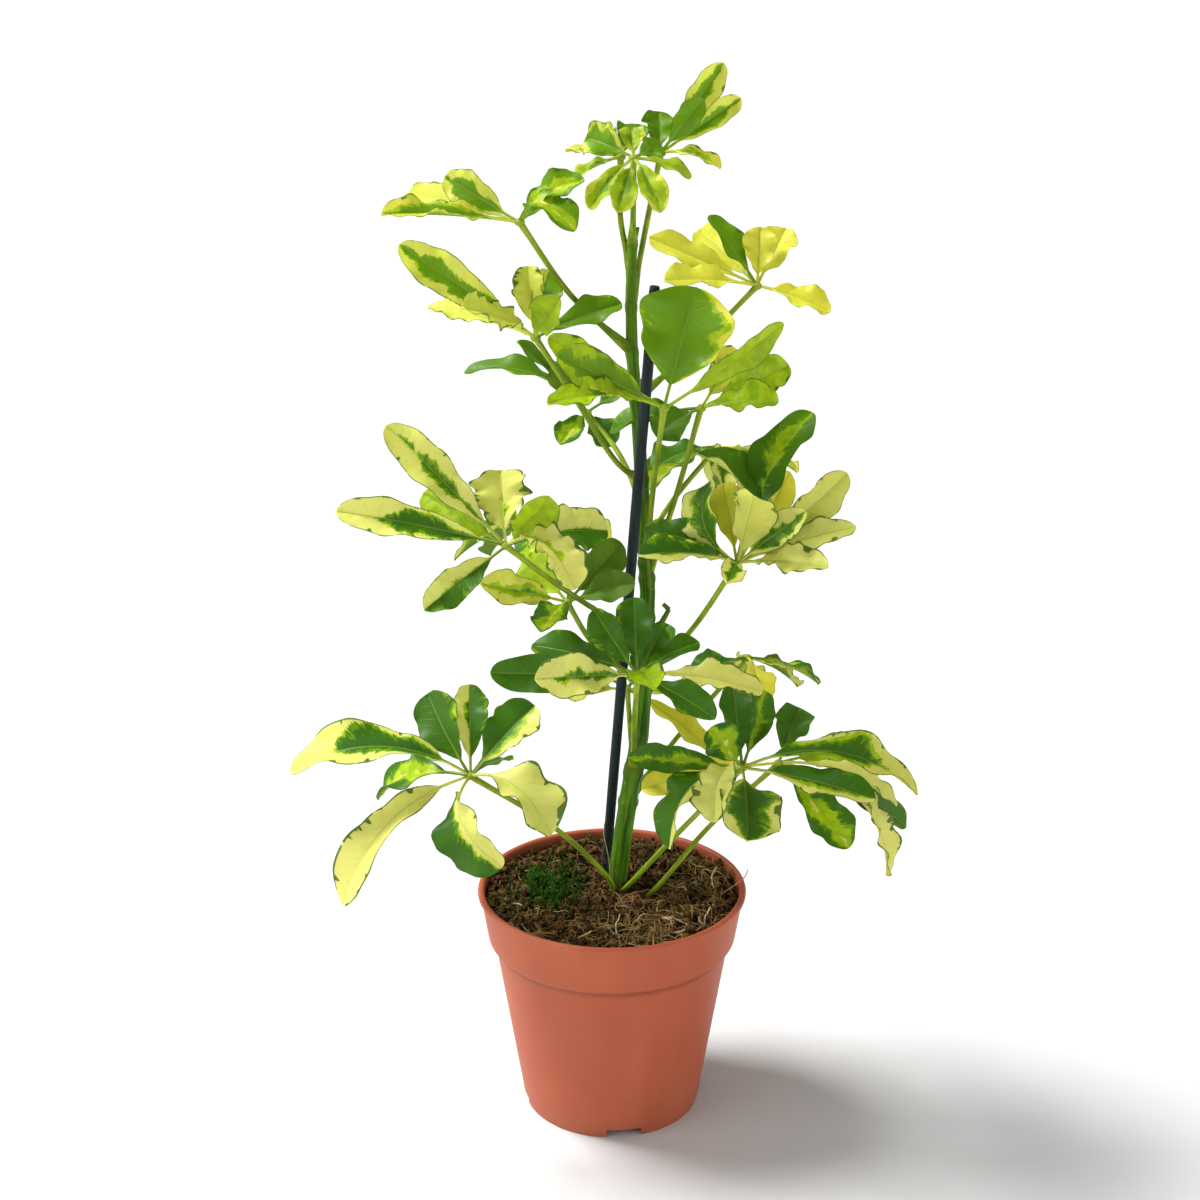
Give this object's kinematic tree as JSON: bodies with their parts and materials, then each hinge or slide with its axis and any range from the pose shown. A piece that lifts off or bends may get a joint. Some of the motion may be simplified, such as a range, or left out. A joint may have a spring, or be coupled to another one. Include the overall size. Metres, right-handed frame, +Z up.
{
  "type": "potted umbrella plant",
  "caption": "Young variegated umbrella plant with waved, hand-shaped leaves on a staked green stem, growing in soil in a tapered terracotta-coloured nursery pot.",
  "frame": {"origin": "centre of the pot's foot, on the surface that the pot stands on", "axes": "+Z up along the pot's axis, -Y toward the viewer of the front view, +X to that viewer's right"},
  "size_m": [0.2662, 0.162, 0.4606],
  "materials": {
    "pot": "satin terracotta-coloured moulded plastic",
    "soil": "loose rough peat with coir fibres and moss; matte",
    "stake": "dark green stained stick, satin",
    "stem": "smooth living green bark with leaf scars, satin",
    "leaf": "glossy living leaf, green with cream and lime variegation"
  },
  "bodies": {
    "root": {"pot": "pot", "soil": "soil", "stake": "stake", "stem": "stem", "leaf_crown": "leaf", "leaf_crown_side": "leaf", "leaf_crown_right": "leaf", "leaf_upper_left": "leaf", "leaf_upper_right": "leaf", "leaf_high_left": "leaf", "leaf_high_front": "leaf", "leaf_high_right": "leaf", "leaf_high_back": "leaf", "leaf_middle_left": "leaf", "leaf_middle_lower": "leaf", "leaf_middle_right": "leaf", "leaf_low_front": "leaf", "leaf_low_back": "leaf", "leaf_base_left": "leaf", "leaf_base_right": "leaf", "leaf_base_far_right": "leaf", "leaf_back_high": "leaf", "leaf_back_left": "leaf", "leaf_back_right": "leaf"}
  },
  "joints": []
}
